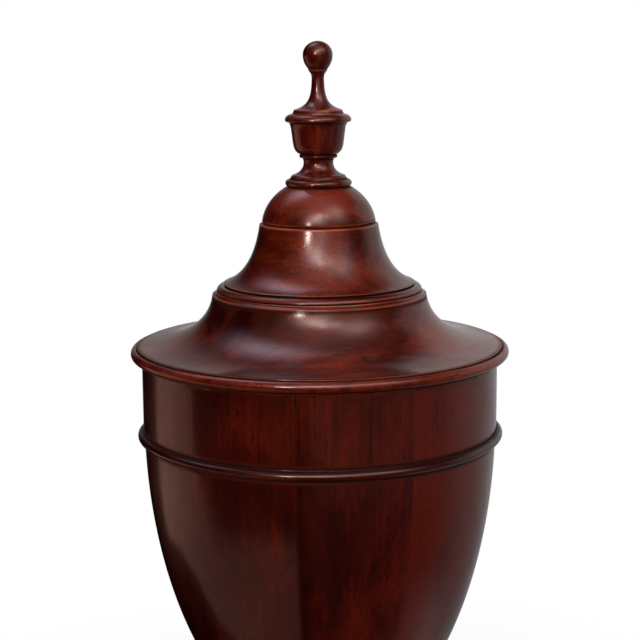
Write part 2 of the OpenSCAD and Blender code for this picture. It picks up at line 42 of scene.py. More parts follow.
# Outlines, read off the frame. Lengths are in metres and turns in degrees.
IN_PLANE = 4e-6
ON_AXIS = 1e-6
SAME_LEVEL = 2e-6
SAME_POINT = 1e-7
LEAST_TURN = 0.4
CORNER_TURN = 24
SHARP_TURN = 60
LONG_CHORD = 3
CORNER_SHARE = 0.3
WEAR_REACH = 0.45 * MM
GROOVE_REACH = 1.5 * MM


def seam(node, angle=0.0):
    """Outline of a node in the half plane at this angle: (r, z) points, and whether it closes."""
    mesh = nodes[node].data
    c, s = math.cos(angle), math.sin(angle)
    keys = []
    for v in mesh.vertices:
        out, off = v.co.x * c + v.co.y * s, v.co.y * c - v.co.x * s
        inside = abs(off) < IN_PLANE and out > -IN_PLANE
        keys.append((round(out, 6) + 0.0, round(v.co.z, 6)) if inside else None)
    links = {}
    for face in mesh.polygons:
        corners = [keys[i] for i in face.vertices]
        if None in corners:
            for a, b in zip(corners, corners[1:] + corners[:1]):
                if a and b and a != b:
                    links.setdefault(a, set()).add(b)
                    links.setdefault(b, set()).add(a)
    # A level face may have no edge in this plane, so its two rims are joined here.
    for key in {k for k in keys if k}:
        links.setdefault(key, set())
    loose = sorted((k for k in links if len(links[k]) < 2 and k[0] > ON_AXIS),
                   key=lambda k: (k[1], k[0]))
    while len(loose) > 1:
        a = loose.pop(0)
        if abs(loose[0][1] - a[1]) < SAME_LEVEL:
            b = loose.pop(0)
            links[a].add(b)
            links[b].add(a)
    ends = sorted((k for k in links if len(links[k]) == 1), key=lambda k: k[1])
    path = [ends[0] if ends else min(links, key=lambda k: (k[1], -k[0]))]
    last = None
    while True:
        ahead = [k for k in links[path[-1]] if k != last]
        if not ahead or ahead[0] == path[0]:
            break
        last = path[-1]
        path.append(ahead[0])
    points = np.array(path)
    if ends:
        if points[0][0] > ON_AXIS:
            points = np.vstack([[0.0, points[0][1]], points])
        if points[-1][0] > ON_AXIS:
            points = np.vstack([points, [0.0, points[-1][1]]])
    r, z = points[:, 0], points[:, 1]
    if np.sum(r * np.roll(z, -1) - np.roll(r, -1) * z) < 0:
        points = points[::-1]
    return points, not ends


def turn_at(points, i):
    """Signed turn of an outline at point i: positive at an arris, negative in a groove."""
    a, b = points[i] - points[i - 1], points[(i + 1) % len(points)] - points[i]
    return math.degrees(math.atan2(a[0] * b[1] - a[1] * b[0], a @ b))


def worn(points, closed, soften, step):
    """Even, smooth outline with rounded arrises, its wear, and its dirt with painted shade in the
    grooves, both from 0 to 1.
    """
    n = len(points)
    ends = () if closed else (0, n - 1)
    points = points[[i for i in range(n) if i in ends or abs(turn_at(points, i)) > LEAST_TURN]]
    n = len(points)
    ends = () if closed else (0, n - 1)
    turns = [0.0 if i in ends else turn_at(points, i) for i in range(n)]
    corner = [abs(t) > CORNER_TURN for t in turns]
    chords = [points[(i + 1) % n] - points[i] for i in range(n)]
    lengths = [float(np.linalg.norm(c)) for c in chords]

    def tangent(i, side):
        """Unit tangent at point i, for the chord before it (side -1) or after it (side 0)."""
        own = chords[i + side] / lengths[i + side]
        if corner[i] or i in ends:
            return None
        before, after = chords[i - 1] / lengths[i - 1], chords[i] / lengths[i]
        if lengths[i - 1] > LONG_CHORD * lengths[i]:
            return before
        if lengths[i] > LONG_CHORD * lengths[i - 1]:
            return after
        both = before * lengths[i] + after * lengths[i - 1]
        return both / np.linalg.norm(both) if both @ own > 0 else own

    out, sharp = [], []
    for i in range(n if closed else n - 1):
        j = (i + 1) % n
        chord, length = chords[i], lengths[i]
        m0, m1 = tangent(i, 0), tangent(j, -1)
        d = chord / length
        # A chord from a corner curves only as much as its other end asks.
        if m0 is None and m1 is None:
            m0 = m1 = d
        elif m0 is None:
            m0 = 1.5 * d - 0.5 * m1
        elif m1 is None:
            m1 = 1.5 * d - 0.5 * m0
        cut0 = min(soften, CORNER_SHARE * length) if corner[i] else 0.0
        cut1 = min(soften, CORNER_SHARE * length) if corner[j] else 0.0
        count = max(2, math.ceil((length - cut0 - cut1) / step))
        for k in range(count + 1):
            t = (cut0 + (length - cut0 - cut1) * k / count) / length
            if k == 0 and not corner[i] and out:
                continue
            h00, h10 = 2 * t**3 - 3 * t**2 + 1, t**3 - 2 * t**2 + t
            h01, h11 = 3 * t**2 - 2 * t**3, t**3 - t**2
            out.append(points[i] * h00 + m0 * length * h10 + points[j] * h01 + m1 * length * h11)
            sharp.append(0.0)
        if corner[j] and (closed or j < n - 1):
            cut = min(soften, CORNER_SHARE * lengths[j])
            ahead = points[j] + chords[j] / lengths[j] * cut
            out.append(points[j] * 0.5 + out[-1] * 0.25 + ahead * 0.25)
            sharp.append(max(-1.0, min(1.0, turns[j] / SHARP_TURN)))
    out = np.array(out)
    if closed and np.linalg.norm(out[0] - out[-1]) < SAME_POINT:
        out, sharp = out[:-1], sharp[:-1]
    along = np.concatenate([[0.0], np.cumsum(np.linalg.norm(np.diff(out, axis=0), axis=1))])
    whole = along[-1] + (np.linalg.norm(out[0] - out[-1]) if closed else 0.0)
    wear, dirt_and_shade = np.zeros(len(out)), np.zeros(len(out))
    for i, s in enumerate(sharp):
        if s:
            gap = np.abs(along - along[i])
            if closed:
                gap = np.minimum(gap, whole - gap)
            if s > 0:
                wear = np.maximum(wear, s * np.exp(-((gap / WEAR_REACH) ** 2)))
            else:
                # A groove darkens with dirt and painted shade, most at its corner.
                dirt_and_shade = np.maximum(dirt_and_shade, -s * np.exp(-((gap / GROOVE_REACH) ** 4)))
    return out, wear, dirt_and_shade


def stave_span(node):
    """Middle and half width of a stave, as angles round the body."""
    co = np.array([v.co for v in nodes[node].data.vertices])
    flat = co[:, :2] / np.linalg.norm(co[:, :2], axis=1)[:, None]
    middle = math.atan2(*flat.sum(axis=0)[::-1])
    return middle, math.acos(min(1.0, float((flat @ [math.cos(middle), math.sin(middle)]).min())))


def outline_of(node):
    """Outline of a turned piece or of a stave, and whether it closes."""
    if not node.startswith("stave"):
        return seam(node)
    middle, half = stave_span(node)
    return seam(node, middle - half)


def joint_dirt_and_shade(path, meets, reach):
    """Dirt and painted shade from 0 to 1 along the lines where a piece meets its neighbours, out to
    this reach.
    """
    near = np.full(len(path), 1.0)
    for node in meets:
        outline, closed = outline_of(node)
        a, b = (outline, np.roll(outline, -1, axis=0)) if closed else (outline[:-1], outline[1:])
        run = b - a
        t = ((path[:, None] - a) * run).sum(axis=2) / (run * run).sum(axis=1)
        foot = a + np.clip(t, 0, 1)[:, :, None] * run
        near = np.minimum(near, np.linalg.norm(path[:, None] - foot, axis=2).min(axis=1))
    return np.exp(-((near / reach) ** 4))


# Meshes of the turned pieces and the staves.
SHARP_EDGE = math.radians(38)
GRAIN_OFFSET = np.array([0.37, 0.61, 0.83])
TURNED_STEP, DENTED_STEP = 1.2 * MM, 0.7 * MM
WEAR_MOST, WEAR_FALL = 1.25, 0.9
DENT_SPAN, DENT_RAYS, DENT_STRETCH, DENT_GRIME_AND_SHADE = 0.04, 11, 1.4, 4.4
STAVE_SOFTEN, STAVE_STEP, STAVE_DIRT_AND_SHADE, STAVE_EASE = 0.3 * MM, 3 * MM, 1.7 * MM, 0.45 * MM
STAVE_COLUMNS = 33
MOUTH_BAND = 0.4 * MM
EDGE_DROP = 0.012 * MM
LEFT_SPREAD, RIGHT_SPREAD = 0.16, 0.3
SHADE_TOP, SHADE_FADE, SHADE_LEAST = 0.338, 0.042, 0.3
FINE_GAP, SPLIT_GAP = 0.006 * MM, 0.01 * MM
LINE_GAP, LINE_FOOT, LINE_RISE = 0.005 * MM, 0.335, 0.03
CRACK_GAP, CRACK_FOOT, CRACK_RISE = 0.2 * MM, 0.391, 0.005
GAP_DIRT = 4


def grain_frame(points, turn, upright, seed):
    """Place of each point in the wood it was cut from: across, through and along the grain."""
    c, s = math.cos(turn), math.sin(turn)
    x, y, z = points[:, 0] * c + points[:, 1] * s, points[:, 1] * c - points[:, 0] * s, points[:, 2]
    axes = (y, x, z) if upright else (y, z, x)
    return np.stack(axes, axis=1) + GRAIN_OFFSET * seed


def patches(points, places):
    """Tone of patches: each an angle in degrees, a height, a spread along and up, and a depth."""
    tone = np.zeros(len(points))
    angle, r = np.arctan2(points[:, 1], points[:, 0]), np.hypot(points[:, 0], points[:, 1])
    for at, height, wide, tall, depth in places:
        off = (angle - math.radians(at) + math.pi) % (2 * math.pi) - math.pi
        tone += depth * np.exp(-((off * r / wide) ** 2) - ((points[:, 2] - height) / tall) ** 2)
    return tone


def piece(name, verts, faces, node, body, material, grain, wear, dirt_and_shade, tone):
    """One mesh piece that stands for a CAD node, with the values that its wood is drawn from."""
    mesh = bpy.data.meshes.new(name)
    mesh.from_pydata([tuple(v) for v in verts], [], faces)
    mesh.update()
    mesh.polygons.foreach_set("use_smooth", [True] * len(mesh.polygons))
    mesh.set_sharp_from_angle(angle=SHARP_EDGE)
    for key, value in {"wear": wear, "dirt_and_shade": dirt_and_shade, "tone": tone}.items():
        made = mesh.attributes.new(key, "FLOAT", "POINT")
        made.data.foreach_set("value", value)
    made = mesh.attributes.new("grain", "FLOAT_VECTOR", "POINT")
    made.data.foreach_set("vector", np.asarray(grain, dtype=np.float32).ravel())
    mesh.materials.append(material)
    obj = bpy.data.objects.new(name, mesh)
    bpy.context.scene.collection.objects.link(obj)
    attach(obj, body)
    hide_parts(node)
    return obj


def uneven(angle, z, seed):
    """Depth of slow unevenness from lathe and age, from 0 to 1: three waves round a piece."""
    return 0.5 + 0.25 * math.sin(2 * angle + seed) \
        + 0.15 * math.sin(3 * angle + 40 * z + 2 * seed) \
        + 0.1 * math.sin(5 * angle - 65 * z + 3 * seed)


def lathe(node, body, material, seg=144, soften=0.3 * MM, grain=(0.0, False), tone=0.0,
          wobble=0.06 * MM, dents=(), seed=0, meets=(), reach=1.6 * MM, rub=1.0, figure=()):
    """A turned piece over a CAD node: outline smoothed, arrises worn, and slightly out of round.

    A dent is an angle, a radius, a height, a size and a depth. The figure patches add tone, and on
    the beads and the dome they also hold painted light and shade.
    """
    outline, closed = seam(node)
    path, wear, dirt_and_shade = worn(outline, closed, soften, DENTED_STEP if dents else TURNED_STEP)
    wear = rub * wear
    # Grooves and the lines where pieces meet darken with dirt and painted shade, except on worn
    # arrises.
    dirt_and_shade = np.maximum(dirt_and_shade, joint_dirt_and_shade(path, meets, reach)) * (1 - wear)
    angles = np.arange(seg) * 2 * math.pi / seg
    for dent in dents:
        rays = dent[0] + np.linspace(-DENT_SPAN, DENT_SPAN, DENT_RAYS)
        angles = np.append(angles, rays % (2 * math.pi))
    angles = np.unique(np.round(angles, 6))
    seg = len(angles)
    verts, wears, dirt_and_shade_list, rings = [], [], [], []
    for (r, z), w, d in zip(path, wear, dirt_and_shade):
        if r < ON_AXIS:
            rings.append([len(verts)] * seg)
            verts.append((0.0, 0.0, z))
            wears.append(w)
            dirt_and_shade_list.append(d)
            continue
        rings.append(list(range(len(verts), len(verts) + seg)))
        for a in angles:
            near = r - wobble * uneven(a, z, seed)
            drop, grime_and_shade = 0.0, 0.0
            for at, out, height, size, depth in dents:
                along = ((a - at + math.pi) % (2 * math.pi) - math.pi) * r
                distance = math.hypot(along / DENT_STRETCH, r - out, z - height)
                share = math.exp(-(distance / size) ** 2)
                drop += depth * share
                # The sloping sides of a dent darken with dirt and painted shade.
                grime_and_shade = max(grime_and_shade, DENT_GRIME_AND_SHADE * share * (1 - share))
            verts.append(((near - drop) * math.cos(a), (near - drop) * math.sin(a), z - drop))
            wears.append(w * min(1.0, WEAR_MOST - WEAR_FALL * uneven(a, z, seed)))
            dirt_and_shade_list.append(min(1.0, d + grime_and_shade))
    faces = []
    for i in range(len(rings) if closed else len(rings) - 1):
        low, high = rings[i], rings[(i + 1) % len(rings)]
        for j in range(seg):
            k = (j + 1) % seg
            corners = list(dict.fromkeys((low[j], low[k], high[k], high[j])))
            if len(corners) > 2:
                faces.append(corners)
    verts = np.array(verts)
    return piece(node + "_turned", verts, faces, node, body, material,
                 grain_frame(verts, *grain, seed), np.array(wears), np.array(dirt_and_shade_list),
                 tone + patches(verts, figure))


def rise(value, foot, height):
    """Share from 0 at the foot to 1 at this height above it."""
    return min(1.0, max(0.0, (value - foot) / height))


def fine(z):
    """Half width of a tight joint, the same at every height."""
    return FINE_GAP


def split(z):
    """Half width of the open joint: a short crack at the mouth, and a fine line below it."""
    line = LINE_GAP * rise(z, LINE_FOOT, LINE_RISE)
    return SPLIT_GAP + line + CRACK_GAP * rise(z, CRACK_FOOT, CRACK_RISE)


def stave(number, material, sink, open_before, open_after, tone, edge_tone, figure):
    """One stave of the body: its middle flatter than the round, its joints fine or open."""
    node = f"stave_{number}"
    middle, half = stave_span(node)
    outline, closed = seam(node, middle - half)
    path, wear, dirt_and_shade = worn(outline, closed, STAVE_SOFTEN, STAVE_STEP)
    # Where the stave meets the bead and the socle it darkens with dirt and painted shade.
    dirt_and_shade = np.maximum(dirt_and_shade, joint_dirt_and_shade(path, ["body_bead", "socle"], STAVE_DIRT_AND_SHADE))
    # The outline starts at its lowest outer point, so the outer face comes first.
    first = int(np.argmin(path[:, 1] * 10 - path[:, 0]))
    path, wear, dirt_and_shade = (np.roll(v, -first, axis=0) for v in (path, wear, dirt_and_shade))
    top = path[:, 1].max()
    last = int(np.argmax(np.where(path[:, 1] > top - MOUTH_BAND, path[:, 0], 0)))
    outer = np.arange(len(path)) <= last
    widest = path[:, 0].max()
    ease = STAVE_EASE / (widest * half)
    across = np.concatenate([[-1.0], np.linspace(-1 + ease, 1 - ease, STAVE_COLUMNS), [1.0]])
    verts, wears, dirt_and_shade_list, tones = [], [], [], []
    for u in across:
        edge = abs(u) == 1.0
        opening = open_before if u < 0 else open_after
        bow = (1 - u * u) ** (1 if opening is split else 2)
        edges = edge_tone[0] * math.exp(-((1 + u) / LEFT_SPREAD) ** 2) \
            + edge_tone[1] * math.exp(-((1 - u) / RIGHT_SPREAD) ** 2)
        for (r, z), w, d, out in zip(path, wear, dirt_and_shade, outer):
            gap = opening(z) if edge else 0.0
            angle = middle + u * (half - gap / r)
            drop = sink * bow * r / widest + (EDGE_DROP + gap if edge else 0.0)
            near = r - drop if out else r
            verts.append((near * math.cos(angle), near * math.sin(angle), z))
            wears.append(w)
            dirt_and_shade_list.append(max(d, min(1.0, GAP_DIRT * gap / MM)) if edge else d)
            shade = SHADE_LEAST + (1 - SHADE_LEAST) * rise(-z, -SHADE_TOP, SHADE_FADE)
            tones.append(tone + edges * shade)
    n = len(path)
    faces = [[j * n + i, (j + 1) * n + i, (j + 1) * n + (i + 1) % n, j * n + (i + 1) % n]
             for j in range(len(across) - 1) for i in range(n)]
    faces += [list(range(n)), [(len(across) - 1) * n + i for i in range(n)][::-1]]
    verts = np.array(verts)
    return piece(f"{node}_bowed", verts, faces, node, "urn", material,
                 grain_frame(verts, middle, True, number), np.array(wears), np.array(dirt_and_shade_list),
                 np.array(tones) + patches(verts, figure))


# Materials. A noise is its waves per metre across, through and along the grain, then its detail,
# roughness and distortion.
BANDS, BAND_WEIGHT = ((16, 16, 5), 2), 0.4
STREAKS = ((150, 150, 5), 4, 0.6, 0.4)
CLOUDS = ((34, 34, 13), 3, 0.6, 0.6)
FIBRES, FIBRE_WEIGHT = ((1100, 1100, 30), 2, 0.6), 0.35
RAYS, RAY_WEIGHT = ((420, 420, 1300), 2, 0.6), 0.3
MOTTLE = ((62, 62, 17), 2, 0.5, 0.5)
PORES = ((1500, 1500, 170), 1)
NICKS = ((640, 640, 130), 2, 0.5)
STAINS = ((22, 22, 22), 3)
SCRATCHES, CROSS_SCRATCHES, CROSS_TURN = ((900, 60, 25), 1), ((30, 1100, 20), 1), (0.5, 0.9, 0.4)
PORE_DEPTH, SWELL, RIPPLE, NICK_DEPTH, SCRATCH_DEPTH = -0.35, 0.5, 0.3, -0.6, -0.06
# Colour of dirt, and of the painted shade in grooves and joints.
GRIME_AND_SHADE = (0.007, 0.0035, 0.003)
BRUSHING = ((70, 2400, 900), 1)
FLAT_FACING = 0.97


def plug(tree, socket, value):
    """Feed a socket by a link or a constant."""
    if isinstance(value, bpy.types.NodeSocket):
        tree.links.new(value, socket)
    else:
        socket.default_value = value


def add(tree, kind, *values, out=0, **named):
    """One shader node. Plain words set its properties, and capitals its inputs."""
    made = tree.nodes.new(kind)
    for key, value in named.items():
        if key[0].islower():
            setattr(made, key, value)
    for index, value in enumerate(values):
        plug(tree, made.inputs[index], value)
    for key, value in named.items():
        if not key[0].islower():
            plug(tree, made.inputs[key.replace("_", " ")], value)
    return made.outputs[out]


def math_node(tree, operation, *values):
    """One sum on numbers."""
    return add(tree, "ShaderNodeMath", *values, operation=operation)


def opaque(colour, share=1.0):
    """Colour of full alpha, taken to this share of its strength."""
    return (*np.minimum(1.0, share * np.array(colour)), 1.0)


def blend(tree, factor, a, b):
    """Colour mix of a and b. Inputs 6 and 7 of the node are its two colours."""
    made = tree.nodes.new("ShaderNodeMix")
    made.data_type = "RGBA"
    for index, value in ((0, factor), (6, a), (7, b)):
        plug(tree, made.inputs[index], value)
    return made.outputs[2]


def ramp(tree, value, *stops):
    """Colour ramp through (place, colour) stops; a plain number stands for a grey."""
    made = tree.nodes.new("ShaderNodeValToRGB")
    tree.links.new(value, made.inputs[0])
    stops = [(p, c if isinstance(c, tuple) else (c, c, c)) for p, c in stops]
    line = made.color_ramp.elements
    while len(line) < len(stops):
        line.new(0.5)
    for element, (place, colour) in zip(line, stops):
        element.position = place
        element.color = (*colour, 1.0)
    return made.outputs[0]


def stretched(tree, vector, scale, detail, roughness=0.5, distortion=0.0):
    """Noise drawn out by a scale for each axis, in waves per metre."""
    place = add(tree, "ShaderNodeMapping", vector, Scale=scale)
    return add(tree, "ShaderNodeTexNoise", Vector=place, Scale=1.0, Detail=detail,
               Roughness=roughness, Distortion=distortion)


def even(tree, vector, scale, detail, **form):
    """Noise of one scale in every direction."""
    return add(tree, "ShaderNodeTexNoise", Vector=vector, Scale=scale, Detail=detail, **form)


def rubbed_edges(tree, radius, full, most):
    """Mask of a CAD piece's edges: nothing on the flat, and the most where the normal leans fully."""
    rounded = add(tree, "ShaderNodeBevel", Radius=radius)
    straight = add(tree, "ShaderNodeNewGeometry", out=1)
    facing = add(tree, "ShaderNodeVectorMath", rounded, straight, operation="DOT_PRODUCT", out=1)
    return add(tree, "ShaderNodeMapRange", Value=facing, From_Min=FLAT_FACING, From_Max=full,
               To_Min=0.0, To_Max=most)


def clean_tree(owner):
    """Empty node tree of a material or of the world."""
    owner.use_nodes = True
    owner.node_tree.nodes.clear()
    return owner.node_tree


def material(name):
    """New material, its node tree and its surface shader."""
    made = bpy.data.materials.new(name)
    tree = clean_tree(made)
    surface = tree.nodes.new("ShaderNodeBsdfPrincipled")
    end = tree.nodes.new("ShaderNodeOutputMaterial")
    tree.links.new(surface.outputs[0], end.inputs[0])
    return made, tree, surface


def feed(tree, surface, **inputs):
    """Set the shader's inputs by name."""
    for key, value in inputs.items():
        plug(tree, surface.inputs[key.replace("_", " ")], value)


def wood(name, dark, mid, light, glow, figure, pores, gloss, coat, lustre=None, cloud=0.3,
         streak=0.5, rubbed=0.9, made=True, turn=(0.0, 0.0, 0.0)):
    """Mahogany or boxwood: streaks, fibre, pores and figure, with polish, wear, dirt, painted shade
    and scratches.

    A made piece carries its own grain, wear, dirt and tone: the dirt holds painted shade in grooves
    and joints, and the tone painted light and shade on the beads and dome. A CAD node has its grain
    from its axes, its wear from its edges and its dirt from stains.
    """
    result, tree, surface = material(name)
    if made:
        place = add(tree, "ShaderNodeAttribute", attribute_name="grain", out=1)
        worn_edge = add(tree, "ShaderNodeAttribute", attribute_name="wear", out=2)
        # Dirt, with painted shade in grooves and joints.
        grime_and_shade = add(tree, "ShaderNodeAttribute", attribute_name="dirt_and_shade", out=2)
        tone = add(tree, "ShaderNodeAttribute", attribute_name="tone", out=2)
    else:
        own = add(tree, "ShaderNodeTexCoord", out=3)
        place = add(tree, "ShaderNodeMapping", own, Rotation=turn)
        worn_edge = rubbed_edges(tree, 0.7 * MM, 0.75, 1.0)
        grime_and_shade = ramp(tree, stretched(tree, place, *STAINS), (0.58, 0.0), (0.8, 0.4))
        tone = None
    weights = ((BANDS, BAND_WEIGHT), (STREAKS, streak), (CLOUDS, cloud), (FIBRES, FIBRE_WEIGHT),
               (RAYS, RAY_WEIGHT))
    layers = [(stretched(tree, place, *noise), weight) for noise, weight in weights]
    mixed = 0.5 - 0.5 * sum(weight for noise, weight in layers)
    for noise, weight in layers:
        mixed = math_node(tree, "MULTIPLY_ADD", noise, weight, mixed)
    if tone is not None:
        mixed = math_node(tree, "ADD", mixed, tone)
    colour = ramp(tree, mixed, (0.32, dark), (0.5, mid), (0.7, light))
    patch = ramp(tree, stretched(tree, place, *MOTTLE), (0.46, 0.0), (0.78, figure))
    colour = blend(tree, patch, colour, opaque(glow))
    pore = ramp(tree, stretched(tree, place, *PORES), (0.63, 0.0), (0.71, pores))
    colour = blend(tree, pore, colour, opaque(dark, 0.25))
    fleck = ramp(tree, stretched(tree, place, *NICKS), (0.66, 0.0), (0.71, 0.85))
    colour = blend(tree, fleck, colour, opaque(dark, 0.2))
    rough_noise = even(tree, place, 420.0, 3.0)
    rubbing = even(tree, place, 55.0, 2.0)
    chafed = math_node(tree, "MULTIPLY", worn_edge, ramp(tree, rubbing, (0.34, 0.45), (0.66, 1.0)))
    colour = blend(tree, chafed, colour, opaque(glow, rubbed))
    # Dirt, with painted shade in grooves and joints, darkens the colour, dulls the polish and thins
    # the coat.
    dirt_and_shade_mask = math_node(tree, "MULTIPLY", grime_and_shade, ramp(tree, rough_noise, (0.3, 0.8), (0.6, 1.0)))
    colour = blend(tree, dirt_and_shade_mask, colour, opaque(GRIME_AND_SHADE))
    smears = even(tree, place, 26.0, 3.0, Roughness=0.6, Distortion=0.8)
    polish = ramp(tree, smears, (0.3, gloss * 0.75), (0.7, gloss * 1.35))
    polish = blend(tree, dirt_and_shade_mask, polish, (0.75, 0.75, 0.75, 1.0))
    scratch_a = stretched(tree, place, *SCRATCHES)
    crossed = add(tree, "ShaderNodeMapping", place, Rotation=CROSS_TURN)
    scratch_b = stretched(tree, crossed, *CROSS_SCRATCHES)
    scratches = math_node(tree, "ADD", ramp(tree, scratch_a, (0.70, 0.0), (0.74, 1.0)),
                          ramp(tree, scratch_b, (0.71, 0.0), (0.75, 1.0)))
    swell = even(tree, place, 70.0, 1.0)
    ripple = even(tree, place, 520.0, 2.0)
    height = math_node(tree, "MULTIPLY", swell, SWELL)
    for form, depth in ((pore, PORE_DEPTH), (ripple, RIPPLE), (fleck, NICK_DEPTH),
                        (scratches, SCRATCH_DEPTH)):
        height = math_node(tree, "MULTIPLY_ADD", form, depth, height)
    relief = add(tree, "ShaderNodeBump", Strength=0.5, Distance=0.12 * MM, Height=height)
    clear = math_node(tree, "MULTIPLY_ADD", dirt_and_shade_mask, -0.9 * coat, coat)
    feed(tree, surface, Base_Color=colour, Roughness=polish, Normal=relief, Coat_Normal=relief,
         Coat_Weight=clear, Coat_Roughness=0.1, Coat_IOR=1.5)
    if lustre:
        feed(tree, surface, Specular_IOR_Level=0.45, Specular_Tint=opaque(lustre))
    else:
        feed(tree, surface, Specular_IOR_Level=0.3)
    return result


def metal(name, colour, stain, roughness):
    """Aged metal with stains, fine scratches and rubbed edges."""
    result, tree, surface = material(name)
    own = add(tree, "ShaderNodeTexCoord", out=3)
    cloud = even(tree, own, 180.0, 4.0, Roughness=0.65)
    specks = even(tree, own, 1500.0, 2.0)
    lines = stretched(tree, own, *BRUSHING)
    aged = ramp(tree, cloud, (0.42, 0.0), (0.68, 0.85))
    shade = blend(tree, aged, opaque(colour), opaque(stain))
    shade = blend(tree, ramp(tree, specks, (0.62, 0.0), (0.72, 0.5)), shade, opaque(stain, 0.4))
    shade = blend(tree, rubbed_edges(tree, 0.4 * MM, 0.8, 0.8), shade, opaque(colour, 1.2))
    dull = ramp(tree, cloud, (0.35, roughness), (0.7, min(1.0, roughness * 2.0)))
    height = math_node(tree, "MULTIPLY_ADD", lines, 0.4, math_node(tree, "MULTIPLY", cloud, 0.3))
    relief = add(tree, "ShaderNodeBump", Strength=0.35, Distance=0.08 * MM, Height=height)
    feed(tree, surface, Base_Color=shade, Metallic=1.0, Roughness=dull, Normal=relief)
    return result


# Each wood is its dark, middle and light colour and its glow.
RICH = ((0.009, 0.0004, 0.0003), (0.027, 0.0013, 0.0006), (0.075, 0.0045, 0.0013),
        (0.14, 0.013, 0.003))
LID = ((0.015, 0.0006, 0.0003), (0.043, 0.002, 0.0007), (0.13, 0.012, 0.0024), (0.33, 0.05, 0.01))
PLAIN = ((0.09, 0.028, 0.012), (0.16, 0.058, 0.026), (0.24, 0.1, 0.048), (0.26, 0.12, 0.06))
YELLOW = ((0.36, 0.23, 0.09), (0.5, 0.34, 0.14), (0.6, 0.43, 0.2), (0.55, 0.36, 0.13))
POLISHED = {"gloss": 0.34, "coat": 0.85, "lustre": (1.0, 0.14, 0.04)}
BASE = {"figure": 0.2, "pores": 0.6, "cloud": 0.5, **POLISHED}
WAXED = {"figure": 0.2, "pores": 0.5, "gloss": 0.42, "coat": 0.08}
POST = {"figure": 0.2, "pores": 0.5, "gloss": 0.38, "coat": 0.1}
CLOSE = {"figure": 0.2, "pores": 0.3, "gloss": 0.4, "coat": 0.15}
UPRIGHT = {"made": False}
LYING = {"made": False, "turn": (0.0, 1.5708, 0.0)}
body_wood = wood("body_mahogany", *RICH, figure=0.1, pores=0.6, cloud=0.45, streak=0.44, **POLISHED)
lid_wood = wood("lid_mahogany", *LID, figure=0.14, pores=0.5, cloud=0.4, rubbed=1.5, **POLISHED)
base_wood = wood("base_mahogany", *RICH, **BASE)
block_wood = wood("plinth_mahogany", *RICH, **BASE, **LYING)
inner_turned = wood("inner_mahogany", *PLAIN, **WAXED)
inner_board = wood("inner_mahogany_flat", *PLAIN, **WAXED, **LYING)
inner_post = wood("inner_mahogany_upright", *PLAIN, **POST, **UPRIGHT)
boxwood = wood("boxwood", *YELLOW, **CLOSE)
boxwood_rod = wood("boxwood_rod", *YELLOW, **CLOSE, **LYING)
brass = metal("aged_brass", (0.56, 0.36, 0.12), (0.2, 0.11, 0.04), 0.26)
steel = metal("dull_steel", (0.32, 0.3, 0.28), (0.12, 0.08, 0.06), 0.38)

# The urn. Patches are an angle, a height, a spread along, a spread up and a depth of tone.
# The body bead's upper half and a line along its foot are darkened all round as painted shade.
BEAD_PAINTED_SHADE = ((-90, 0.3536, 0.9, 0.0016, -0.4), (-90, 0.3478, 0.9, 0.0008, -0.3))
SKIRT_FIGURE = ((-52, 0.428, 0.03, 0.014, -0.03), (-86, 0.421, 0.035, 0.006, 0.2),
                (-138, 0.44, 0.045, 0.014, -0.34), (-110, 0.444, 0.03, 0.012, -0.1),
                (0, 0.42, 0.05, 0.02, 0.3), (-38, 0.418, 0.03, 0.012, 0.14),
                (-168, 0.42, 0.05, 0.02, 0.14), (100, 0.42, 0.05, 0.02, 0.14))
SKIRT_DENT = (math.radians(-71.5), 0.0993, 0.421, 1.9 * MM, 1.1 * MM)
# The lid's bead is darkened all round on its upper shoulder and in its hollow, as painted shade with
# some dirt in the hollow, and lightened on its nose as painted light.
LID_BEAD_SHADE_AND_LIGHT = ((-90, 0.4558, 0.6, 0.0011, -0.55), (-90, 0.4514, 0.6, 0.001, -0.65),
                   (-90, 0.4535, 0.6, 0.0006, 0.15))
BELL_FIGURE = ((-118, 0.488, 0.012, 0.014, -0.03), (-53, 0.488, 0.014, 0.03, -0.04),
               (-80, 0.475, 0.026, 0.02, 0.12), (80, 0.48, 0.03, 0.02, 0.12),
               (-105, 0.4625, 0.045, 0.004, 0.22))
# On the dome the lighter orange patch at mid height in front is painted light, the darker bands under
# the finial and at the foot are dirt and painted shade, and the rest is tone.
DOME_TONE_LIGHT_AND_SHADE = ((-80, 0.52, 0.014, 0.01, 0.4), (-128, 0.518, 0.01, 0.01, 0.16),
               (-48, 0.518, 0.008, 0.012, 0.12), (-95, 0.505, 0.03, 0.004, -0.14),
               (-90, 0.536, 0.03, 0.004, -0.2), (-40, 0.51, 0.01, 0.03, -0.06),
               (100, 0.52, 0.02, 0.02, 0.2))
BODY_FIGURE = ((-108, 0.377, 0.02, 0.017, 0.16), (-123, 0.377, 0.014, 0.03, -0.08),
               (-54, 0.3, 0.01, 0.07, 0.12), (-131, 0.28, 0.025, 0.03, -0.15),
               (-30, 0.33, 0.03, 0.1, 0.1), (-26, 0.35, 0.02, 0.09, 0.3),
               (-86, 0.28, 0.008, 0.05, -0.2), (-80, 0.24, 0.014, 0.03, 0.22),
               (70, 0.33, 0.03, 0.06, 0.14), (115, 0.36, 0.03, 0.05, -0.1),
               (160, 0.3, 0.03, 0.08, 0.12), (20, 0.28, 0.03, 0.06, -0.08))

